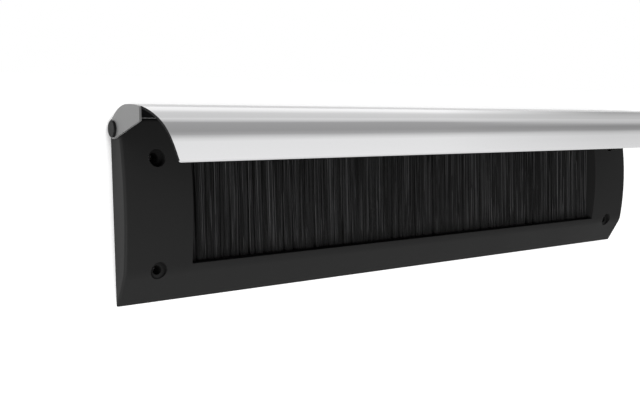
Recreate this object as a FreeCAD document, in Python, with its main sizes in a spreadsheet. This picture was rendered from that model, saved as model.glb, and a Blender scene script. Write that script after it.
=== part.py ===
import FreeCAD, Part
import math
import os
import re

import Sketcher
from FreeCAD import Placement, Rotation, Vector

# A letter-plate draught excluder: a moulded frame with a curtain of bristles across its letter opening,
# and a curved metal flap that swings on a headed pin at each end of the frame.
# X runs along the frame, Y up the door, Z out of the door. The origin is the centre of the back plane.

doc = FreeCAD.newDocument("letter_plate_draught_excluder")

# Driving sizes, in millimetres and degrees
SIZES = [
    ("frame_length", 338.0, "frame, end face to end face"),
    ("frame_height", 78.0, "frame, bottom edge to top edge"),
    ("stile_width", 30.6, "solid frame beyond each end of the opening"),
    ("rail_height", 16.1, "solid frame above and below the opening"),
    ("wall", 1.8, "moulded wall"),
    ("bottom_edge", 0.8, "thickness left at the bottom edge"),
    ("bevel_height", 13.8, "height of the bevel along the bottom"),
    ("bevel_depth", 9.3, "frame depth at the top of the bevel"),
    ("top_depth", 7.95, "frame depth at the top edge"),
    ("face_radius", 151.0, "hollowness of the domed front face"),
    ("top_rounding", 2.0, "rounding of the top front edge"),
    ("bevel_rounding", 12.0, "soft turn from the face into the bevel"),
    ("end_rounding", 1.2, "rounding of the front edges of the ends"),
    ("screw_inset", 15.3, "screw hole centre from the end face"),
    ("screw_low", 14.6, "lower screw hole centre from the bottom edge"),
    ("screw_high", 16.4, "upper screw hole centre from the top edge"),
    ("screw_hole", 4.0, "through hole for a screw"),
    ("recess_size", 7.4, "round recess for the screw's head"),
    ("recess_floor", 7.0, "floor of the recess from the back plane"),
    ("boss_size", 7.8, "screw boss behind the recess"),
    ("rib", 1.4, "ribs inside the moulding"),
    ("hinge_drop", 4.3, "hinge axis below the top edge"),
    ("hinge_depth", 5.5, "hinge axis in front of the back plane"),
    ("pin_size", 2.6, "pin shank"),
    ("pin_hold", 8.0, "pin shank inside the frame"),
    ("pin_head_size", 6.9, "pin head across"),
    ("pin_head_thickness", 0.8, "pin head"),
    ("pin_running_gap", 0.1, "between pin head and end plate"),
    ("pin_play", 0.05, "radial play of the end plate on the pin"),
    ("pin_boss", 6.0, "boss round the pin inside the frame"),
    ("holder_overrun", 5.6, "brush holder beyond each end of the opening"),
    ("holder_height", 7.0, "brush holder"),
    ("holder_width", 4.4, "brush holder, front to back"),
    ("holder_back", 2.4, "brush holder from the back plane"),
    ("holder_sheet", 0.6, "folded metal of the holder"),
    ("holder_gap", 0.2, "room round the holder in its groove"),
    ("tab_width", 8.0, "tabs that keep the holder in its groove"),
    ("tab_thickness", 1.6, "tabs, front to back"),
    ("tab_inset", 8.0, "middle of the end tabs from the ends of the holder"),
    ("wire_size", 1.2, "core wire"),
    ("wire_rise", 4.8, "core wire above the foot of the holder"),
    ("bristle_root", 2.6, "bristles at the holder, front to back"),
    ("bristle_tip", 3.4, "bristles at their tips, front to back"),
    ("bristle_gap", 0.3, "room between bristles and moulding"),
    ("tuft_pitch", 11.0, "along the bristles from one parting to the next"),
    ("tuft_parting", 0.6, "floor of a parting in front of or behind the middle of the bristles"),
    ("plate_gap", 0.3, "between end face and end plate"),
    ("plate_thickness", 0.9, "end plate"),
    ("plate_eye", 4.1, "end plate round the pin, radius"),
    ("plate_reach", 31.9, "front edge of the end plate from the back plane"),
    ("plate_front", 5.6, "straight front edge of the end plate"),
    ("plate_wrap", 9.5, "end plate along the back bend beyond the flap's back edge"),
    ("heel_rise", 1.5, "stop heel of the end plate above the hinge axis"),
    ("heel_gap", 0.05, "between stop heel and door"),
    ("flange_width", 6.0, "flange of the end plate under the flap"),
    ("flange_angle", 20.0, "flange along the back bend"),
    ("sheet", 1.0, "flap metal"),
    ("roll_depth", 0.8, "back edge of the flap in front of the hinge axis"),
    ("roll_rise", 5.19, "back edge of the flap above the hinge axis"),
    ("roll_radius", 23.1, "back bend of the flap"),
    ("roll_angle", 34.8, "back bend"),
    ("crown_radius", 65.0, "top of the flap"),
    ("crown_angle", 25.3, "top of the flap"),
    ("nose_radius", 32.0, "front bend of the flap"),
    ("nose_angle", 25.3, "front bend"),
    ("lip_radius", 60.0, "apron of the flap down to its lip"),
    ("lip_angle", 8.0, "apron"),
    ("lip_rounding", 1.0, "rounded corners of the lip"),
]

sizes = doc.addObject("Spreadsheet::Sheet", "sizes")
for row, (alias, value, note) in enumerate(SIZES, start=1):
    sizes.set(f"A{row}", note)
    sizes.set(f"B{row}", str(value))
    sizes.setAlias(f"B{row}", alias)
doc.recompute()

ALIASES = {alias for alias, value, note in SIZES}
WORD = re.compile(r"[a-z][a-z_]*")
EXACT = 1e-5

# Lengths that follow from the driving sizes
FORMULAS = {
    "opening_length": "frame_length - 2 * stile_width",
    "opening_height": "frame_height - 2 * rail_height",
    "half_height": "frame_height / 2",
    "bevel_top": "bevel_height - half_height",
    "hinge_level": "half_height - hinge_drop",
    "screw_reach": "frame_length / 2 - screw_inset",
    "holder_length": "opening_length + 2 * holder_overrun",
    "groove_floor": "opening_height / 2 + wall",
    "holder_foot": "groove_floor + holder_gap",
    "holder_top": "holder_foot + holder_height",
    "holder_front": "holder_back + holder_width",
    "holder_middle": "holder_back + holder_width / 2",
    "wire_level": "holder_foot + wire_rise",
    "bristle_length": "opening_length - 2 * bristle_gap",
    "plate_inner": "frame_length / 2 + plate_gap",
    "plate_outer": "plate_inner + plate_thickness",
    "bevel_slope": "(bevel_depth - bottom_edge) / bevel_height",
    "face_rise": "half_height - bevel_top",
    "face_fall": "bevel_depth - top_depth",
    "half_chord": "sqrt(face_rise ^ 2 + face_fall ^ 2) / 2",
    "chord_distance": "sqrt(face_radius ^ 2 - half_chord ^ 2)",
    "face_centre_y": "(half_height + bevel_top) / 2 - face_fall * chord_distance / half_chord / 2",
    "face_centre_z": "(top_depth + bevel_depth) / 2 - face_rise * chord_distance / half_chord / 2",
    "hollow_head": "half_height - wall",
    "hollow_knee": "bevel_top + wall * bevel_slope / 2",
    "hollow_depth": "face_centre_z + sqrt((face_radius - wall) ^ 2 - (hollow_knee - face_centre_y) ^ 2)",
    "hollow_toe": "hollow_knee - hollow_depth / bevel_slope",
    "fold_radius": "holder_width / 2 - holder_sheet - holder_gap",
    "past_everything": "frame_height",
}


def spelled_out(text):
    """The text with every formula name replaced by its formula."""
    while True:
        longer = WORD.sub(lambda word: f"({FORMULAS[word[0]]})" if word[0] in FORMULAS else word[0], text)
        if longer == text:
            return text
        text = longer


def number(text):
    """What a formula comes to."""
    return float(sizes.evalExpression(spelled_out(text)))


def bind(thing, place, text):
    """Tie one property of an object to the sheet."""
    prefixed = WORD.sub(lambda word: f"sizes.{word[0]}" if word[0] in ALIASES else word[0], spelled_out(text))
    thing.setExpression(place, prefixed)


def place_at(thing, x, y, z):
    bind(thing, "Placement.Base.x", x)
    bind(thing, "Placement.Base.y", y)
    bind(thing, "Placement.Base.z", z)


def box(name, x, y, z):
    """A box between two formulas along each axis."""
    solid = doc.addObject("Part::Box", name)
    for side, (low, high) in (("Length", x), ("Width", y), ("Height", z)):
        bind(solid, side, f"({high}) - ({low})")
    place_at(solid, x[0], y[0], z[0])
    return solid


def cylinder(name, radius, height, x, y, z, rotation=None):
    solid = doc.addObject("Part::Cylinder", name)
    bind(solid, "Radius", radius)
    bind(solid, "Height", height)
    if rotation:
        solid.Placement = Placement(Vector(), rotation)
    place_at(solid, x, y, z)
    return solid


def joined(name, solids):
    union = doc.addObject("Part::MultiFuse", name)
    union.Shapes = solids
    return union


def cut(name, base, tool):
    result = doc.addObject("Part::Cut", name)
    result.Base = base
    result.Tool = tool
    return result


def arc_centre(start, end, radius, bulge):
    """The centre of an arc. With a bulge of 1 the arc lies to the left of the way from start to end."""
    chord = end - start
    across = Vector(-chord.y, chord.x, 0).normalize()
    rise = math.sqrt(radius ** 2 - (chord.Length / 2) ** 2)
    return (start + end) * 0.5 - across * (rise * bulge)


def outline(sketch, corners, curves):
    """A closed outline. Each corner is a pair of formulas, and curves holds (radius formula, bulge) at the
    index of a corner where the side that starts there is an arc, and not a straight line."""
    points = [Vector(number(x), number(y), 0) for x, y in corners]
    ends = []
    for index, start in enumerate(points):
        end = points[(index + 1) % len(points)]
        if index in curves:
            radius, bulge = curves[index]
            centre = arc_centre(start, end, number(radius), bulge)
            first = math.atan2(start.y - centre.y, start.x - centre.x)
            last = math.atan2(end.y - centre.y, end.x - centre.x)
            circle = Part.Circle(centre, Vector(0, 0, 1), number(radius))
            if bulge > 0:
                side = sketch.addGeometry(Part.ArcOfCircle(circle, last, first), False)
                ends.append((side, 2, 1))
            else:
                side = sketch.addGeometry(Part.ArcOfCircle(circle, first, last), False)
                ends.append((side, 1, 2))
            place = sketch.addConstraint(Sketcher.Constraint("Radius", side, number(radius)))
            bind(sketch, f"Constraints[{place}]", radius)
        else:
            side = sketch.addGeometry(Part.LineSegment(start, end), False)
            ends.append((side, 1, 2))
    for index, (side, start, end) in enumerate(ends):
        following = ends[(index + 1) % len(ends)]
        sketch.addConstraint(Sketcher.Constraint("Coincident", side, end, following[0], following[1]))
        for direction, text in zip(("DistanceX", "DistanceY"), corners[index]):
            place = sketch.addConstraint(Sketcher.Constraint(direction, -1, 1, side, start, number(text)))
            bind(sketch, f"Constraints[{place}]", text)


def sketch_on(body, role):
    """A new sketch on one of the planes of a body's origin."""
    sketch = body.newObject("Sketcher::SketchObject", f"{body.Name}_sketch")
    plane = [f for f in body.Origin.OriginFeatures if f.Role == role][0]
    sketch.AttachmentSupport = [(plane, "")]
    sketch.MapMode = "FlatFace"
    return sketch


def section_body(name, corners, curves, length, middle="0"):
    """A body of one section in the plane of Y and Z, padded evenly along X to both sides of its middle."""
    body = doc.addObject("PartDesign::Body", name)
    sketch = sketch_on(body, "YZ_Plane")
    bind(sketch, "AttachmentOffset.Base.z", middle)
    outline(sketch, corners, curves)
    pad = body.newObject("PartDesign::Pad", f"{name}_pad")
    pad.Profile = sketch
    pad.SideType = "Symmetric"
    bind(pad, "Length", length)
    return body


def round_edges(body, name, radius, chosen):
    """Round the edges of a body that a test picks out."""
    doc.recompute()
    tip = body.Tip
    edges = [f"Edge{index}" for index, edge in enumerate(body.Shape.Edges, start=1) if chosen(edge)]
    rounding = body.newObject("PartDesign::Fillet", name)
    rounding.Base = (tip, edges)
    bind(rounding, "Radius", radius)


def between_corners(corners, longest):
    """A test for edges that run between these corners of a section and are no longer than stated."""
    places = [(number(y), number(z)) for y, z in corners]
    limit = number(longest) + EXACT
    return lambda edge: edge.Length < limit and all(
        min(abs(end.Y - y) + abs(end.Z - z) for y, z in places) < EXACT for end in edge.Vertexes)


def on_the_ends(edge):
    """A test for the edges of the frame's ends, apart from those along its back and its bottom."""
    middle = edge.CenterOfMass
    return abs(middle.x) > number("frame_length") / 2 - EXACT and middle.z > number("bottom_edge")


def behind_face(y):
    """How far in front of the back plane the hollow ends at y, one wall behind the domed face."""
    return f"face_centre_z + sqrt((face_radius - wall) ^ 2 - ({y} - face_centre_y) ^ 2)"


# The flap's outer line from its back edge to its lip. Each bend leaves in the direction that the one before
# it ended in, so the corners follow from the radii and angles.
FLAP_RADII = ["roll_radius", "crown_radius", "nose_radius", "lip_radius"]
FLAP_HEADINGS = [
    "roll_angle",
    "0",
    "(-crown_angle)",
    "(-crown_angle - nose_angle)",
    "(-crown_angle - nose_angle - lip_angle)",
]
FLAP_CORNERS = [("hinge_level + roll_rise", "hinge_depth + roll_depth")]
for radius, before, after in zip(FLAP_RADII, FLAP_HEADINGS, FLAP_HEADINGS[1:]):
    y, z = FLAP_CORNERS[-1]
    FLAP_CORNERS.append((f"{y} + {radius} * (cos({after}) - cos({before}))",
                         f"{z} + {radius} * (sin({before}) - sin({after}))"))


def moved_in(corner, heading, inset):
    """A corner of the flap's outer line, moved in by an inset, square to the way the line runs there."""
    y, z = corner
    return f"{y} - ({inset}) * cos({heading})", f"{z} + ({inset}) * sin({heading})"


def on_roll(heading):
    """The point of the back bend's outer line where it runs in one heading."""
    y, z = FLAP_CORNERS[1]
    return f"{y} - roll_radius * (1 - cos({heading}))", f"{z} - roll_radius * sin({heading})"


def on_crown(heading):
    """The point of the crown's outer line where it runs in one heading, which is down and so below zero."""
    y, z = FLAP_CORNERS[1]
    return f"{y} - crown_radius * (1 - cos({heading}))", f"{z} - crown_radius * sin({heading})"


# The end plate reaches along the crown to its front edge, and its slanting edge leaves the foot of that
# edge and runs on into the round eye
FORMULAS["plate_heading"] = f"(-asin((plate_reach - ({FLAP_CORNERS[1][1]})) / crown_radius))"
FORMULAS["plate_foot"] = f"{on_crown('plate_heading')[0]} - plate_front"
FORMULAS["foot_rise"] = "plate_foot - hinge_level"
FORMULAS["foot_reach"] = "plate_reach - hinge_depth"
FORMULAS["foot_distance"] = "sqrt(foot_rise ^ 2 + foot_reach ^ 2)"
FORMULAS["eye_tilt"] = "(atan(foot_rise / foot_reach) + asin(plate_eye / foot_distance))"

# The moulding's outer form: a flat back, a bevel along the bottom and a domed face
frame_form = section_body(
    "frame_form",
    [
        ("-half_height", "0"),
        ("half_height", "0"),
        ("half_height", "top_depth"),
        ("bevel_top", "bevel_depth"),
        ("-half_height", "bottom_edge"),
    ],
    {2: ("face_radius", -1)},
    "frame_length",
)
round_edges(frame_form, "frame_form_top_rounding", "top_rounding",
            between_corners([("half_height", "top_depth")], "frame_length"))
round_edges(frame_form, "frame_form_bevel_rounding", "bevel_rounding",
            between_corners([("bevel_top", "bevel_depth")], "frame_length"))
round_edges(frame_form, "frame_form_end_rounding", "end_rounding", on_the_ends)

# Its hollow, open at the back, whose face lies one wall behind the front
hollow_form = section_body(
    "hollow_form",
    [
        ("hollow_toe", "-wall"),
        ("hollow_head", "-wall"),
        ("hollow_head", behind_face("hollow_head")),
        ("hollow_knee", behind_face("hollow_knee")),
        ("hollow_toe", "0"),
    ],
    {2: ("face_radius - wall", -1)},
    "frame_length - 2 * wall",
)

# What stays inside the hollow: the wall round the opening, its head and sill run on to the ends as ribs,
# the roof of the brush groove with its tabs, a boss round each screw and a boss round each hinge pin
INSIDE = ("0", "past_everything")
END_TO_END = ("-frame_length / 2", "frame_length / 2")
inner_parts = [
    box("opening_wall", ("-opening_length / 2 - wall", "opening_length / 2 + wall"),
        ("-groove_floor", "groove_floor"), INSIDE),
    box("sill_rib", END_TO_END, ("-groove_floor", "rib - groove_floor"), INSIDE),
    box("head_rib", END_TO_END, ("groove_floor - rib", "groove_floor"), INSIDE),
    box("groove_roof", ("-holder_length / 2", "holder_length / 2"),
        ("holder_top + holder_gap", "holder_top + holder_gap + rib"), INSIDE),
]
for hand, side in (("left", "-"), ("right", "")):
    stop = "holder_length / 2 + holder_gap"
    edges = (f"-({stop}) - rib", f"-({stop})") if side else (stop, f"{stop} + rib")
    inner_parts.append(box(f"groove_end_{hand}", edges, ("groove_floor", "half_height"), INSIDE))
    middle = f"{side}(opening_length / 2 + stile_width / 2)"
    inner_parts.append(box(f"stile_rib_{hand}", (f"{middle} - rib / 2", f"{middle} + rib / 2"),
                           ("-half_height", "half_height"), INSIDE))
    inner_parts.append(cylinder(f"pin_boss_{hand}", "pin_boss / 2", "pin_hold + wall",
                                f"{side}(frame_length / 2)", "hinge_level", "hinge_depth",
                                Rotation(Vector(0, 1, 0), 90 if side else -90)))
TAB_COUNT = 5
for tab in range(TAB_COUNT):
    middle = f"(holder_length / 2 - tab_inset) * {2 * tab / (TAB_COUNT - 1) - 1}"
    inner_parts.append(box(f"holder_tab_{tab + 1}",
                           (f"{middle} - tab_width / 2", f"{middle} + tab_width / 2"),
                           ("groove_floor", "holder_top + holder_gap"),
                           ("holder_back - holder_gap - tab_thickness", "holder_back - holder_gap")))
SCREWS = [
    ("low_left", "-screw_reach", "screw_low - half_height"),
    ("low_right", "screw_reach", "screw_low - half_height"),
    ("high_left", "-screw_reach", "half_height - screw_high"),
    ("high_right", "screw_reach", "half_height - screw_high"),
]
for corner, x, y in SCREWS:
    inner_parts.append(cylinder(f"screw_boss_{corner}", "boss_size / 2", "past_everything", x, y, "0"))
    inner_parts.append(cylinder(f"recess_cup_{corner}", "recess_size / 2 + wall", "past_everything", x, y,
                                "recess_floor - wall"))
hollow = cut("hollow", hollow_form, joined("inner_parts", inner_parts))
shell = cut("shell", frame_form, hollow)

# What is cut right through: the letter opening, the mouth of the brush groove, the screws and the pins
cutters = [
    box("letter_opening", ("-opening_length / 2", "opening_length / 2"),
        ("-opening_height / 2", "opening_height / 2"), ("-wall", "past_everything")),
    box("groove_mouth", ("-bristle_length / 2", "bristle_length / 2"), ("0", "holder_foot"),
        ("holder_middle - bristle_root / 2 - bristle_gap", "holder_middle + bristle_root / 2 + bristle_gap")),
]
for corner, x, y in SCREWS:
    cutters.append(cylinder(f"screw_hole_{corner}", "screw_hole / 2", "past_everything", x, y, "-wall"))
    cutters.append(cylinder(f"screw_recess_{corner}", "recess_size / 2", "past_everything", x, y,
                            "recess_floor"))
for hand, side in (("left", "-"), ("right", "")):
    cutters.append(cylinder(f"pin_bore_{hand}", "pin_size / 2", "pin_hold",
                            f"{side}(frame_length / 2)", "hinge_level", "hinge_depth",
                            Rotation(Vector(0, 1, 0), 90 if side else -90)))
frame = cut("frame", shell, joined("cutters", cutters))

# The holder is a channel folded from thin metal, gripping the bristles that are doubled over a core wire
holder = section_body(
    "brush_holder",
    [
        ("holder_foot", "holder_back"),
        ("holder_top", "holder_back"),
        ("holder_top", "holder_front"),
        ("holder_foot", "holder_front"),
        ("holder_foot", "holder_front - holder_sheet"),
        ("holder_top - holder_sheet", "holder_front - holder_sheet"),
        ("holder_top - holder_sheet", "holder_back + holder_sheet"),
        ("holder_foot", "holder_back + holder_sheet"),
    ],
    {},
    "holder_length",
)
core_wire = cylinder("brush_core_wire", "wire_size / 2", "holder_length", "-holder_length / 2", "wire_level",
                     "holder_middle", Rotation(Vector(0, 1, 0), 90))

# The curtain of bristles: folded round the wire, narrow where it leaves the holder, fuller at its tips
bristle_form = section_body(
    "bristle_form",
    [
        ("bristle_gap - opening_height / 2", "holder_middle - bristle_tip / 2"),
        ("holder_foot", "holder_middle - bristle_root / 2"),
        ("wire_level", "holder_middle - fold_radius"),
        ("wire_level + fold_radius", "holder_middle"),
        ("wire_level", "holder_middle + fold_radius"),
        ("holder_foot", "holder_middle + bristle_root / 2"),
        ("bristle_gap - opening_height / 2", "holder_middle + bristle_tip / 2"),
    ],
    {2: ("fold_radius", -1), 3: ("fold_radius", -1)},
    "bristle_length",
)

# The bristles stand in tufts, with a parting between each tuft and the next on both faces
TUFT_COUNT = int(number("bristle_length / tuft_pitch"))
FIRST_PARTING = f"(-{TUFT_COUNT / 2 - 1} * tuft_pitch)"
parting_sketch = sketch_on(bristle_form, "XZ_Plane")
bind(parting_sketch, "AttachmentOffset.Base.z", "opening_height / 2 - bristle_gap")
for way in (1, -1):
    side = f"{way} * bristle_tip"
    outline(
        parting_sketch,
        [
            (FIRST_PARTING, f"holder_middle + {way} * tuft_parting"),
            (f"{FIRST_PARTING} + {side}", f"holder_middle + {way} * tuft_parting + {side}"),
            (f"{FIRST_PARTING} - {side}", f"holder_middle + {way} * tuft_parting + {side}"),
        ],
        {},
    )
parting = bristle_form.newObject("PartDesign::Pocket", "tuft_parting_cut")
parting.Profile = parting_sketch
bind(parting, "Length", "opening_height / 2 - bristle_gap + holder_foot")
partings = bristle_form.newObject("PartDesign::LinearPattern", "tuft_partings")
partings.Originals = [parting]
partings.Direction = (parting_sketch, ["H_Axis"])
partings.Occurrences = TUFT_COUNT - 1
bind(partings, "Length", f"{TUFT_COUNT - 2} * tuft_pitch")
bristle_form.Tip = partings
bristles = cut("brush_bristles", bristle_form,
               cylinder("wire_space", "wire_size / 2", "holder_length", "-holder_length / 2", "wire_level",
                        "holder_middle", Rotation(Vector(0, 1, 0), 90)))

# The headed pins, turned about the hinge axis
pins = []
for hand, turn in (("left", -90), ("right", 90)):
    body = doc.addObject("PartDesign::Body", f"hinge_pin_{hand}")
    sketch = sketch_on(body, "XZ_Plane")
    shoulder = "plate_outer + pin_running_gap - frame_length / 2"
    outline(
        sketch,
        [
            ("0", "-pin_hold"),
            ("pin_size / 2", "-pin_hold"),
            ("pin_size / 2", shoulder),
            ("pin_head_size / 2", shoulder),
            ("pin_head_size / 2", f"{shoulder} + pin_head_thickness / 2"),
            ("pin_head_size / 2 - pin_head_thickness / 2", f"{shoulder} + pin_head_thickness"),
            ("0", f"{shoulder} + pin_head_thickness"),
        ],
        {4: ("pin_head_thickness / 2", -1)},
    )
    turned = body.newObject("PartDesign::Revolution", f"hinge_pin_{hand}_turned")
    turned.Profile = sketch
    turned.ReferenceAxis = (sketch, ["V_Axis"])
    turned.Angle = 360
    body.Placement = Placement(Vector(), Rotation(Vector(0, 1, 0), turn))
    place_at(body, "frame_length / 2" if turn > 0 else "-frame_length / 2", "hinge_level", "hinge_depth")
    pins.append(body)

# The flap: one sheet, bent along its length in a chain of arcs that run on into each other
flap_outside = [moved_in(corner, heading, "0") for corner, heading in zip(FLAP_CORNERS, FLAP_HEADINGS)]
flap_inside = [moved_in(corner, heading, "sheet") for corner, heading in zip(FLAP_CORNERS, FLAP_HEADINGS)]
flap_curves = {index: (radius, -1) for index, radius in enumerate(FLAP_RADII)}
for index, radius in enumerate(FLAP_RADII[::-1], start=len(FLAP_CORNERS)):
    flap_curves[index] = (f"{radius} - sheet", 1)
flap_sheet = section_body("flap_sheet", flap_outside + flap_inside[::-1], flap_curves, "2 * plate_inner")
round_edges(flap_sheet, "flap_sheet_lip_rounding", "lip_rounding",
            between_corners([flap_outside[-1], flap_inside[-1]], "sheet"))

# The end plates: round the pin, up the back to the top of the flap, along it, and slanting back to the pin,
# with a flange that is turned in under the flap's back bend
PLATE_OUTLINE = [
    ("hinge_level", "hinge_depth - plate_eye"),
    ("hinge_level + heel_rise", "heel_gap"),
    on_roll("(roll_angle + plate_wrap)"),
    FLAP_CORNERS[1],
    on_crown("plate_heading"),
    ("plate_foot", "plate_reach"),
    ("hinge_level - plate_eye * cos(eye_tilt)", "hinge_depth + plate_eye * sin(eye_tilt)"),
]
PLATE_CURVES = {2: ("roll_radius", -1), 3: ("crown_radius", -1), 6: ("plate_eye", -1)}
FLANGE_LINE = [(on_roll("flange_angle"), "flange_angle"), (FLAP_CORNERS[1], "0")]
FLANGE_OUTLINE = [moved_in(corner, heading, "sheet") for corner, heading in FLANGE_LINE]
FLANGE_OUTLINE += [moved_in(corner, heading, "sheet + plate_thickness")
                   for corner, heading in FLANGE_LINE[::-1]]
FLANGE_CURVES = {0: ("roll_radius - sheet", -1), 2: ("roll_radius - sheet - plate_thickness", 1)}
plates = []
for hand, side in (("left", -1), ("right", 1)):
    blank = section_body(f"plate_blank_{hand}", PLATE_OUTLINE, PLATE_CURVES, "plate_thickness",
                         f"{side} * (plate_inner + plate_thickness / 2)")
    flange = section_body(f"plate_flange_{hand}", FLANGE_OUTLINE, FLANGE_CURVES, "flange_width",
                          f"{side} * (plate_outer - flange_width / 2)")
    bore = cylinder(f"plate_bore_{hand}", "pin_size / 2 + pin_play", "past_everything",
                    f"{side} * (frame_length / 2 - wall)", "hinge_level", "hinge_depth",
                    Rotation(Vector(0, 1, 0), 90 * side))
    plates.append(cut(f"flap_end_plate_{hand}", joined(f"plate_folded_{hand}", [blank, flange]), bore))

doc.recompute()
for thing in doc.Objects:
    if "Invalid" in thing.State or "Error" in thing.State:
        raise RuntimeError(f"{thing.Label} failed: {thing.State}")

os.makedirs("parts", exist_ok=True)
for node in [frame, holder, core_wire, bristles, flap_sheet] + pins + plates:
    shape = node.Shape
    if shape.isNull() or not shape.isValid():
        raise RuntimeError(f"{node.Label} is not a valid solid")
    shape.exportStep(f"parts/{node.Label}.step")
    print(node.Label, len(shape.Solids), round(shape.Volume, 1))
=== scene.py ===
import bpy
import bmesh
import math
import random
from mathutils import Matrix, Vector


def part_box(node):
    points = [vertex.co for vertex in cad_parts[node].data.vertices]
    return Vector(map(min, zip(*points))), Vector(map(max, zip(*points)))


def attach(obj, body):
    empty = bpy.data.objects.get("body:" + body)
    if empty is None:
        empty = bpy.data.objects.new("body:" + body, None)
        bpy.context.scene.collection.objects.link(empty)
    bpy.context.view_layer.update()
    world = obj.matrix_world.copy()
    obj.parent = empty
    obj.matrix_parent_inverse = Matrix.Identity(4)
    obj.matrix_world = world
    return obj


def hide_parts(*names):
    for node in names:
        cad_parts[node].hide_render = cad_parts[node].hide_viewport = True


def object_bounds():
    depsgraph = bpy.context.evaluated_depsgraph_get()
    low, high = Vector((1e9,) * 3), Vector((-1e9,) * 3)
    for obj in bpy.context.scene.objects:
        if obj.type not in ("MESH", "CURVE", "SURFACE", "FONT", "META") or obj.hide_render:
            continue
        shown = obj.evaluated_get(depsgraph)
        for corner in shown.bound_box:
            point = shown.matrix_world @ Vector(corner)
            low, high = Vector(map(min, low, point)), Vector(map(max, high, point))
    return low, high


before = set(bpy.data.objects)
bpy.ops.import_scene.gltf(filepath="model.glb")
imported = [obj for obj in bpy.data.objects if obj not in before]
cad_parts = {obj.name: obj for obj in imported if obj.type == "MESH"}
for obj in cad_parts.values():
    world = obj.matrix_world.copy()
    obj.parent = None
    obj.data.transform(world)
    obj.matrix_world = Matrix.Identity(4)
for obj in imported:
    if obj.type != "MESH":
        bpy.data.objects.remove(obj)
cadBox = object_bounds()
print("frame loaded")

mm = 0.001  # the dictionaries below give their sizes in millimetres and their angles in degrees
shadeRays = 8  # rays that each ambient occlusion node sends out
noiseLow, noiseHigh = 0.3, 0.7  # noise lies mostly between these two
mixFirst, mixSecond, mixColour = 6, 7, 2  # a Mix node's two colour inputs and its colour output


def linear(hexColour):
    # sRGB hex to the linear values that sockets take
    parts = [int(hexColour[i:i + 2], 16) / 255 for i in (1, 3, 5)]
    return tuple(c / 12.92 if c <= 0.04045 else ((c + 0.055) / 1.055) ** 2.4 for c in parts) + (1.0,)


def feed(tree, node, inputs):
    # each input takes a plain value, or a link from another node's output
    for socket, value in inputs.items():
        if isinstance(value, bpy.types.NodeSocket):
            tree.links.new(value, node.inputs[socket])
        else:
            node.inputs[socket].default_value = value


def addNode(tree, kind, inputs=None, output=0, **settings):
    # a node with its settings and what goes into it; the output that is asked for comes back
    node = tree.nodes.new(kind)
    for name, value in settings.items():
        setattr(node, name, value)
    feed(tree, node, inputs or {})
    return node.outputs[output]


def startMaterial(name):
    material = bpy.data.materials.new(name)
    material.use_nodes = True
    return material, material.node_tree


def grain(tree, place, spacing, **values):
    # noise whose features are as far apart along X, Y and Z as the spacing says
    scale = [1 / (step * mm) for step in spacing]
    spread = addNode(tree, "ShaderNodeMapping", {"Vector": place, "Scale": scale})
    return addNode(tree, "ShaderNodeTexNoise", {"Vector": spread, "Scale": 1.0, **values}, "Fac")


# the photo's camera
view = {
    "place": (-297.59, 29.06, 323.77),
    "look": (0.58405, -0.07345, -0.80836),
    "up": (0.05594, 0.99717, -0.05017),
    "focalPixels": 820.7,
    "imageWidth": 640,
    "sensor": 36,
    "nearest": 10,
    "farthest": 20000,
}


def makeCamera():
    lens = bpy.data.cameras.new("photoCamera")
    lens.sensor_width = view["sensor"]
    lens.lens = view["focalPixels"] / view["imageWidth"] * view["sensor"]
    lens.clip_start = view["nearest"] * mm
    lens.clip_end = view["farthest"] * mm
    camera = bpy.data.objects.new("photoCamera", lens)
    bpy.context.scene.collection.objects.link(camera)
    back = -Vector(view["look"]).normalized()
    right = Vector(view["up"]).cross(back).normalized()
    turn = Matrix((right, back.cross(right), back)).transposed()
    camera.matrix_world = Matrix.Translation(Vector(view["place"]) * mm) @ turn.to_4x4()
    bpy.context.scene.camera = camera


makeCamera()
print("camera placed")


# the studio's walls, whose light changes in strips that run along the object. Each stop is an angle and the
# light there: 0 is level with the floor past the frame's top edge, and 90 is straight out from the door
walls = {
    "left": [(-180, 0.55), (-76, 1.16), (-60, 1.15), (-52, 0.85), (-46, 0.81), (-39, 1.08), (-34, 0.92),
             (-28, 0.49), (-8, 0.45), (-1, 0.56), (3.4, 0.96), (5.5, 1.08), (12, 1.13), (36, 1.20),
             (55, 0.30), (120, 0.32), (150, 0.54), (180, 0.50)],
    "right": [(-180, 0.55), (-76, 0.60), (-62, 0.44), (-48, 0.62), (-35, 0.76), (-27, 0.68), (-20, 0.50),
              (-13, 0.36), (-3, 0.42), (0, 0.55), (4, 0.82), (8, 0.88), (15, 0.92), (36, 1.05),
              (55, 0.30), (120, 0.32), (150, 0.54), (180, 0.50)],
    "leftToRight": (0.70, 0.82),  # how far a direction leans to the right where one wall turns into the other
    "power": 2.0,
}


def wallStrips(tree, angle, stops):
    turn = addNode(tree, "ShaderNodeMapRange", {"Value": angle, "From Min": -math.pi, "From Max": math.pi})
    strips = addNode(tree, "ShaderNodeValToRGB", {"Fac": turn}, "Color")
    marks = strips.node.color_ramp.elements
    for degrees, light in stops:
        place = (degrees + 180) / 360
        mark = marks[0] if place == 0 else marks[-1] if place == 1 else marks.new(place)
        mark.color = [light / walls["power"]] * 3 + [1]
    return strips


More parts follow.
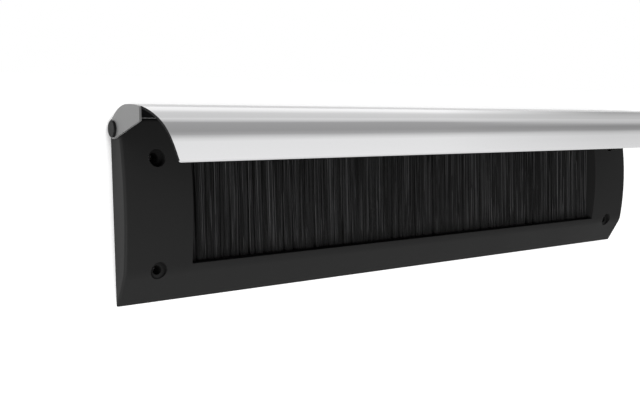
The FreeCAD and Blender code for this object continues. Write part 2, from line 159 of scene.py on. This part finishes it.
def makeWalls():
    # mirrors and lit surfaces get the strips, and the camera sees plain white as in the photo
    world = bpy.data.worlds.new("studioWalls")
    bpy.context.scene.world = world
    world.use_nodes = True
    tree = world.node_tree
    direction = addNode(tree, "ShaderNodeTexCoord", output="Generated")
    towards = addNode(tree, "ShaderNodeSeparateXYZ", {"Vector": direction}).node.outputs
    angle = addNode(tree, "ShaderNodeMath", {0: towards["Z"], 1: towards["Y"]}, operation="ARCTAN2")
    start, end = walls["leftToRight"]
    right = addNode(tree, "ShaderNodeMapRange", {"Value": towards["X"], "From Min": start, "From Max": end})
    leftStrips = wallStrips(tree, angle, walls["left"])
    rightStrips = wallStrips(tree, angle, walls["right"])
    strips = addNode(tree, "ShaderNodeMix", {"Factor": right, mixFirst: leftStrips, mixSecond: rightStrips},
                     mixColour, data_type="RGBA")
    glow = addNode(tree, "ShaderNodeBackground", {"Color": strips, "Strength": walls["power"]})
    white = addNode(tree, "ShaderNodeBackground", {"Color": (1, 1, 1, 1), "Strength": 1.0})
    seen = addNode(tree, "ShaderNodeLightPath", output="Is Camera Ray")
    both = addNode(tree, "ShaderNodeMixShader", {0: seen, 1: glow, 2: white})
    feed(tree, tree.nodes["World Output"], {"Surface": both})


# the studio's floor, a pale sheet that ends just past the flap
floor = {
    "colour": "#e0e0e0",
    "lift": 0.70,  # its glow to the camera, which makes it as white as the photo's background
    "glint": 0.42,  # its glow in mirrors
    "contactReach": 12,
    "open": (0.42, 0.62),  # how open to the sky a spot is where its glow starts, and where it is whole
    "spread": 2500,
    "topEdge": 56,
    "drop": 0.1,  # how far below the part it lies
}


def floorPaint():
    material, tree = startMaterial("paleFloor")
    tree.nodes.remove(tree.nodes["Principled BSDF"])
    rays = addNode(tree, "ShaderNodeLightPath").node.outputs
    mirrored = addNode(tree, "ShaderNodeMath", {0: rays["Is Glossy Ray"], 1: rays["Is Transmission Ray"]},
                       operation="MAXIMUM")
    seenLift = addNode(tree, "ShaderNodeMapRange", {"Value": rays["Is Camera Ray"], "To Max": floor["lift"]})
    glintLift = addNode(tree, "ShaderNodeMapRange", {"Value": mirrored, "To Max": floor["glint"]})
    lifted = addNode(tree, "ShaderNodeMath", {0: seenLift, 1: glintLift}, operation="MAXIMUM")
    # painted shade: the glow is held back where the part hems the floor in, as a contact shade
    clearance = addNode(tree, "ShaderNodeAmbientOcclusion", {"Distance": floor["contactReach"] * mm}, "AO",
                        samples=shadeRays)
    start, end = floor["open"]
    bare = addNode(tree, "ShaderNodeMapRange", {"Value": clearance, "From Min": start, "From Max": end})
    lift = addNode(tree, "ShaderNodeMath", {0: lifted, 1: bare}, operation="MULTIPLY")
    glow = addNode(tree, "ShaderNodeEmission", {"Color": (1, 1, 1, 1), "Strength": lift})
    paint = addNode(tree, "ShaderNodeBsdfDiffuse", {"Color": linear(floor["colour"])})
    both = addNode(tree, "ShaderNodeAddShader", {0: glow, 1: paint})
    feed(tree, tree.nodes["Material Output"], {"Surface": both})
    return material


def makeFloor():
    form = bmesh.new()
    bmesh.ops.create_grid(form, x_segments=1, y_segments=1, size=1)
    reach = floor["spread"] * mm
    top = floor["topEdge"] * mm
    height = cadBox[0][2] - floor["drop"] * mm
    bmesh.ops.scale(form, vec=(reach, (reach + top) / 2, 1), verts=form.verts)
    bmesh.ops.translate(form, vec=(0, (top - reach) / 2, height), verts=form.verts)
    mesh = bpy.data.meshes.new("floor")
    form.to_mesh(mesh)
    form.free()
    mesh.materials.append(floorPaint())
    piece = bpy.data.objects.new("floor", mesh)
    bpy.context.scene.collection.objects.link(piece)


# the key light, a softbox in front of the part and to its lower left
key = {"place": (-900, -550, 950), "size": 800, "power": 10.0}


def makeKeyLight():
    lamp = bpy.data.lights.new("keySoftbox", "AREA")
    lamp.size = key["size"] * mm
    lamp.energy = key["power"]
    softbox = bpy.data.objects.new("keySoftbox", lamp)
    bpy.context.scene.collection.objects.link(softbox)
    place = Vector(key["place"]) * mm
    softbox.matrix_world = Matrix.Translation(place) @ place.to_track_quat("Z", "Y").to_matrix().to_4x4()


bpy.context.scene.view_settings.view_transform = "Standard"
makeWalls()
makeFloor()
makeKeyLight()
print("studio lit")


# injection-moulded ABS with a fine spark-eroded grain: a dense black that catches a soft dull sheen, and
# painted shade keeps it darkest down in its recesses
moulding = {
    "colour": "#2b2b2b",
    "paler": "#2e2e2e",
    "recessShade": "#1c1c1c",
    "deepReach": 7,
    "deepShade": (0.36, 0.66),
    "roughness": (0.42, 0.54),
    "sheen": 0.08,
    "grit": 0.35,  # the real grain is about 0.1 mm, drawn coarser so that it shows
    "gritHeight": 0.012,
    "flow": 40,
    "edge": 0.25,
    "edgeRays": 4,
}


def mouldedAbs():
    material, tree = startMaterial("mouldedAbs")
    place = addNode(tree, "ShaderNodeTexCoord", output="Object")
    grit = grain(tree, place, [moulding["grit"]] * 3, Detail=2.0, Roughness=0.6)
    flow = grain(tree, place, [moulding["flow"]] * 3, Detail=2.0)
    black = addNode(tree, "ShaderNodeMix", {"Factor": flow, mixFirst: linear(moulding["colour"]),
                                            mixSecond: linear(moulding["paler"])},
                    mixColour, data_type="RGBA")
    # painted shade: the colour turns darker where ambient occlusion finds a recess
    around = addNode(tree, "ShaderNodeAmbientOcclusion", {"Distance": moulding["deepReach"] * mm}, "AO",
                     samples=shadeRays, only_local=True)
    start, end = moulding["deepShade"]
    outside = addNode(tree, "ShaderNodeMapRange", {"Value": around, "From Min": start, "From Max": end})
    colour = addNode(tree, "ShaderNodeMix", {"Factor": outside, mixFirst: linear(moulding["recessShade"]),
                                             mixSecond: black}, mixColour, data_type="RGBA")
    smooth, dull = moulding["roughness"]
    rough = addNode(tree, "ShaderNodeMapRange", {"Value": flow, "From Min": noiseLow, "From Max": noiseHigh,
                                                 "To Min": smooth, "To Max": dull})
    edge = addNode(tree, "ShaderNodeBevel", {"Radius": moulding["edge"] * mm}, samples=moulding["edgeRays"])
    relief = addNode(tree, "ShaderNodeBump", {"Strength": 1.0, "Distance": moulding["gritHeight"] * mm,
                                              "Height": grit, "Normal": edge})
    feed(tree, tree.nodes["Principled BSDF"], {"Base Color": colour, "Roughness": rough, "Normal": relief,
                                               "Specular IOR Level": moulding["sheen"]})
    return material


# drawn nylon filament, black through and through, with a narrow gloss along each strand; painted light makes
# some strands and bundles brighter than others, and painted shade darkens the partings between clumps and the
# tips by the sill
filament = {
    "colour": "#020202",
    "paler": "#202021",
    "bright": "#686869",
    "brightShare": 0.20,
    "bundle": (0.7, 50, 0.7),  # as wide as some three strands
    "bundleShade": (0.42, 0.50),
    "roughness": 0.42,
    "gloss": 0.25,
    "shadeDepth": 7.0,
    "partingReach": 1.0,
    "partingShade": (0.30, 0.80),
}


def blackNylon():
    material, tree = startMaterial("blackNylon")
    place = addNode(tree, "ShaderNodeTexCoord", output="Object")
    # painted light and shade that changes from bundle to bundle
    bundle = grain(tree, place, filament["bundle"], Detail=1.0)
    start, end = filament["bundleShade"]
    spread = addNode(tree, "ShaderNodeMapRange", {"Value": bundle, "From Min": start, "From Max": end})
    # painted shade: the strands turn darker towards their tips, by the sill
    height = addNode(tree, "ShaderNodeSeparateXYZ", {"Vector": place}, "Y")
    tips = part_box("brush_bristles")[0][1]
    above = addNode(tree, "ShaderNodeMapRange", {"Value": height, "From Min": tips,
                                                 "From Max": tips + filament["shadeDepth"] * mm})
    # painted shade in the partings, where ambient occlusion finds strands close around
    around = addNode(tree, "ShaderNodeAmbientOcclusion", {"Distance": filament["partingReach"] * mm}, "AO",
                     samples=shadeRays)
    start, end = filament["partingShade"]
    outside = addNode(tree, "ShaderNodeMapRange", {"Value": around, "From Min": start, "From Max": end})
    unshaded = addNode(tree, "ShaderNodeMath", {0: above, 1: outside}, operation="MULTIPLY")
    share = addNode(tree, "ShaderNodeMath", {0: spread, 1: unshaded}, operation="MULTIPLY")
    plain = addNode(tree, "ShaderNodeMix", {"Factor": share, mixFirst: linear(filament["colour"]),
                                            mixSecond: linear(filament["paler"])},
                    mixColour, data_type="RGBA")
    # painted highlights: a random share of the strands gets the bright colour
    own = addNode(tree, "ShaderNodeNewGeometry", output="Random Per Island")
    glints = addNode(tree, "ShaderNodeMapRange", {"Value": own, "From Min": 1 - filament["brightShare"]})
    lit = addNode(tree, "ShaderNodeMath", {0: glints, 1: share}, operation="MULTIPLY")
    colour = addNode(tree, "ShaderNodeMix", {"Factor": lit, mixFirst: plain,
                                             mixSecond: linear(filament["bright"])},
                     mixColour, data_type="RGBA")
    feed(tree, tree.nodes["Principled BSDF"], {"Base Color": colour, "Roughness": filament["roughness"],
                                               "Specular IOR Level": filament["gloss"]})
    return material


# rolled galvanised strip: dull zinc with a faint crystal mottle
strip = {"colour": "#8f9294", "paler": "#a9acae", "crystal": 4, "roughness": 0.45}


def galvanisedStrip():
    material, tree = startMaterial("galvanisedStrip")
    place = addNode(tree, "ShaderNodeTexCoord", output="Object")
    crystal = addNode(tree, "ShaderNodeTexVoronoi", {"Vector": place, "Scale": 1 / (strip["crystal"] * mm)},
                      "Color")
    shade = addNode(tree, "ShaderNodeSeparateColor", {"Color": crystal}, "Red")
    colour = addNode(tree, "ShaderNodeMix", {"Factor": shade, mixFirst: linear(strip["colour"]),
                                             mixSecond: linear(strip["paler"])}, mixColour, data_type="RGBA")
    feed(tree, tree.nodes["Principled BSDF"], {"Base Color": colour, "Roughness": strip["roughness"],
                                               "Metallic": 1.0})
    return material


# turned steel pin, blackened: dark with a soft gloss on its domed head
pin = {
    "colour": "#141415",
    "worn": "#1d1d1e",
    "turning": 0.3,  # the real turning marks are finer, drawn coarser so that they show
    "roughness": 0.38,
    "gloss": 0.08,
}


def blackenedSteel():
    material, tree = startMaterial("blackenedSteel")
    place = addNode(tree, "ShaderNodeTexCoord", output="Object")
    marks = grain(tree, place, [pin["turning"]] * 3, Detail=2.0)
    colour = addNode(tree, "ShaderNodeMix", {"Factor": marks, mixFirst: linear(pin["colour"]),
                                             mixSecond: linear(pin["worn"])}, mixColour, data_type="RGBA")
    feed(tree, tree.nodes["Principled BSDF"], {"Base Color": colour, "Roughness": pin["roughness"],
                                               "Specular IOR Level": pin["gloss"]})
    return material


def ownNormal(tree):
    # how a piece's surface faces in its own axes, which stays with the piece when it swings
    flat = addNode(tree, "ShaderNodeNewGeometry", output="True Normal")
    return addNode(tree, "ShaderNodeVectorTransform", {"Vector": flat}, vector_type="NORMAL",
                   convert_from="WORLD", convert_to="OBJECT")


def lengthwise(tree, vector):
    # how much of a vector lies along the object, to either side
    across = addNode(tree, "ShaderNodeSeparateXYZ", {"Vector": vector}, "X")
    return addNode(tree, "ShaderNodeMath", {0: across}, operation="ABSOLUTE")


# polished aluminium sheet: mirror bright on its outside, with faint rolling lines and slow waves lengthwise;
# its underside and its cut ends are dark and dull, a painted shade
flap = {
    "colour": "#d3d3d4",
    "paintedShade": "#101011",
    "paintedShadeGloss": 0.1,
    "paintedShadeRoughness": 0.6,
    "cutEnds": (0.8, 0.9),  # how squarely a face looks along the object before it counts as a cut end
    "inside": (0, 10, 20),  # a point on the flap's hollow side, which its underside faces
    "insideEdge": 1,
    "roughness": (0.035, 0.08),
    "rollingLines": (90, 0.8, 0.8),  # the real lines are finer, drawn coarser so that they show
    "waves": (120, 9, 9),
    "waveHeight": 0.10,
}


def polishedAluminium():
    material, tree = startMaterial("polishedAluminium")
    place = addNode(tree, "ShaderNodeTexCoord", output="Object")
    lines = grain(tree, place, flap["rollingLines"], Detail=2.0)
    waves = grain(tree, place, flap["waves"], Detail=1.5)
    normal = ownNormal(tree)
    # painted shade: the cut ends and the underside get a dark, dull colour
    start, end = flap["cutEnds"]
    ends = addNode(tree, "ShaderNodeMapRange", {"Value": lengthwise(tree, normal), "From Min": start,
                                                "From Max": end})
    inside = [step * mm for step in flap["inside"]]
    inwards = addNode(tree, "ShaderNodeVectorMath", {0: inside, 1: place}, operation="SUBTRACT")
    towards = addNode(tree, "ShaderNodeVectorMath", {0: inwards, 1: normal}, "Value", operation="DOT_PRODUCT")
    under = addNode(tree, "ShaderNodeMapRange", {"Value": towards, "From Max": flap["insideEdge"] * mm})
    shadePainted = addNode(tree, "ShaderNodeMath", {0: ends, 1: under}, operation="MAXIMUM")
    bare = addNode(tree, "ShaderNodeMapRange", {"Value": shadePainted, "To Min": 1.0, "To Max": 0.0})
    bright, brushed = flap["roughness"]
    polish = addNode(tree, "ShaderNodeMapRange", {"Value": lines, "From Min": noiseLow, "From Max": noiseHigh,
                                                  "To Min": bright, "To Max": brushed})
    dull = addNode(tree, "ShaderNodeMapRange", {"Value": shadePainted, "To Max": flap["paintedShadeRoughness"]})
    rough = addNode(tree, "ShaderNodeMath", {0: polish, 1: dull}, operation="MAXIMUM")
    colour = addNode(tree, "ShaderNodeMix", {"Factor": shadePainted, mixFirst: linear(flap["colour"]),
                                             mixSecond: linear(flap["paintedShade"])}, mixColour, data_type="RGBA")
    relief = addNode(tree, "ShaderNodeBump", {"Strength": 1.0, "Distance": flap["waveHeight"] * mm,
                                              "Height": waves})
    feed(tree, tree.nodes["Principled BSDF"], {"Base Color": colour, "Roughness": rough, "Metallic": bare,
                                               "Normal": relief, "Specular IOR Level": flap["paintedShadeGloss"]})
    return material


# stamped zinc-plated steel, satin: an even grey face with brighter cut edges, bright partly from the cut
# steel itself and partly as a painted highlight; the side that is turned to the flap's inside is dark with
# it, a painted shade
plate = {
    "colour": "#929292",
    "cutEdgeAndHighlight": "#cccccc",
    "paintedShade": "#101011",
    "paintedShadeGloss": 0.1,
    "paintedShadeEdge": 0.1,
    "thickness": 0.9,
    "roughness": 0.5,
    "grit": 0.3,  # the real grain is finer, drawn coarser so that it shows
    "gritHeight": 0.006,
}


def satinZinc():
    material, tree = startMaterial("satinZinc")
    place = addNode(tree, "ShaderNodeTexCoord", output="Object")
    grit = grain(tree, place, [plate["grit"]] * 3, Detail=2.0)
    flatness = lengthwise(tree, ownNormal(tree))
    # the faces that do not look along the object get the brighter colour: partly cut steel, partly painted
    # highlight
    zinc = addNode(tree, "ShaderNodeMix", {"Factor": flatness, mixFirst: linear(plate["cutEdgeAndHighlight"]),
                                           mixSecond: linear(plate["colour"])}, mixColour, data_type="RGBA")
    # painted shade: the side turned to the flap's inside gets the dark colour
    inner = -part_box("flap_end_plate_left")[0][0] - plate["thickness"] * mm
    fade = plate["paintedShadeEdge"] * mm
    plated = addNode(tree, "ShaderNodeMapRange", {"Value": lengthwise(tree, place), "From Min": inner - fade,
                                                  "From Max": inner + fade})
    colour = addNode(tree, "ShaderNodeMix", {"Factor": plated, mixFirst: linear(plate["paintedShade"]),
                                             mixSecond: zinc}, mixColour, data_type="RGBA")
    relief = addNode(tree, "ShaderNodeBump", {"Strength": 1.0, "Distance": plate["gritHeight"] * mm,
                                              "Height": grit})
    feed(tree, tree.nodes["Principled BSDF"], {"Base Color": colour, "Roughness": plate["roughness"],
                                               "Metallic": plated, "Normal": relief,
                                               "Specular IOR Level": plate["paintedShadeGloss"]})
    return material


nylon = blackNylon()
steel = blackenedSteel()
zinc = satinZinc()
galvanised = galvanisedStrip()
finishes = {
    "frame": mouldedAbs(),
    "brush_bristles": nylon,
    "brush_holder": galvanised,
    "brush_core_wire": galvanised,
    "hinge_pin_left": steel,
    "hinge_pin_right": steel,
    "flap_sheet": polishedAluminium(),
    "flap_end_plate_left": zinc,
    "flap_end_plate_right": zinc,
}
for node, material in finishes.items():
    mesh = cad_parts[node].data
    mesh.materials.clear()
    mesh.materials.append(material)
print("materials set")


# the bristles: strands that leave the holder in clumps with dark partings between them, and lean together
# towards their tips
brush = {
    "strandSize": 0.24,
    "strandsInRow": 7000,
    "rows": {"back": -1, "middle": 0, "front": 1},  # which part of the curtain's depth each row fills
    "clumpPitch": 3.8,
    "pitchSpread": (0.5, 1.5),
    "clumpGap": 0.42,  # the parting at the left of each clump, in the front row
    "clumpPull": 0.22,  # how far of the way to its clump's middle a tip is drawn
    "clumpLean": 0.55,
    "strandLean": 0.20,
    "tipSpread": 0.12,  # how far the tips stray in depth, as a share of half the curtain's
    "tipUnevenness": 0.8,
    "rootDepth": 0.7,  # how far apart the rows lie at the holder, as a share of that at their tips
    "insideHolder": 4.0,
    "bend": 1.6,  # 1 is a straight strand, and more leaves the lean to its lower end
    "joints": 3,
    "seed": 41,
}


def layClumps(draw, start, end):
    # each clump's left side, its width and how far its tips lean
    clumps = []
    while start < end:
        width = brush["clumpPitch"] * draw.uniform(*brush["pitchSpread"]) * mm
        clumps.append((start, width, draw.gauss(0, brush["clumpLean"]) * mm))
        start += width
    return clumps


def bendStrand(curve, root, tip):
    spline = curve.splines.new("POLY")
    spline.points.add(brush["joints"])
    for joint, point in enumerate(spline.points):
        share = joint / brush["joints"]
        bend = share ** brush["bend"]
        steps = zip(root, tip, (bend, share, bend))
        point.co = [start + (end - start) * step for start, end, step in steps] + [1]


def bakeStrands(curve):
    holder = bpy.data.objects.new("strands", curve)
    bpy.context.scene.collection.objects.link(holder)
    mesh = bpy.data.meshes.new_from_object(holder)
    bpy.data.objects.remove(holder)
    bpy.data.curves.remove(curve)
    mesh.materials.clear()
    mesh.materials.append(nylon)
    return mesh


def makeBristles():
    low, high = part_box("brush_bristles")
    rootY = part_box("brush_holder")[0][1] + brush["insideHolder"] * mm
    radius = brush["strandSize"] / 2 * mm
    left, right = low[0] + radius, high[0] - radius
    middle = (low[2] + high[2]) / 2
    depth = (high[2] - low[2]) / 2 - radius
    rowCount = len(brush["rows"])
    draw = random.Random(brush["seed"])
    clumps = layClumps(draw, low[0], high[0])
    for rowName, side in brush["rows"].items():
        curve = bpy.data.curves.new("strands", "CURVE")
        curve.dimensions = "3D"
        curve.bevel_depth = radius
        curve.bevel_resolution = 0
        curve.use_fill_caps = True
        for _ in range(brush["strandsInRow"]):
            x = draw.uniform(left, right)
            start, width, lean = [clump for clump in clumps if clump[0] <= x][-1]
            if rowName == "front":
                x = max(x, min(start + brush["clumpGap"] * mm, right))
            # an outer row is thickest at the curtain's face, and the middle row is even
            if side:
                across = side * (1 + (rowCount - 1) * draw.random() ** 0.5) / rowCount
            else:
                across = draw.uniform(-1, 1) / rowCount
            pull = (start + width / 2 - x) * brush["clumpPull"] + lean
            pull = pull + draw.gauss(0, brush["strandLean"]) * mm
            tipX = min(max(x + pull, left), right)
            tipZ = middle + depth * min(max(across + draw.gauss(0, brush["tipSpread"]), -1), 1)
            tipY = low[1] + brush["tipUnevenness"] * draw.random() ** 2 * mm
            rootZ = middle + depth * brush["rootDepth"] * across
            bendStrand(curve, (x, rootY, rootZ), (tipX, tipY, tipZ))
        piece = bpy.data.objects.new(f"bristles_{rowName}", bakeStrands(curve))
        bpy.context.scene.collection.objects.link(piece)
        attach(piece, "frame")
        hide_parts("brush_bristles")


makeBristles()
print("bristles made")
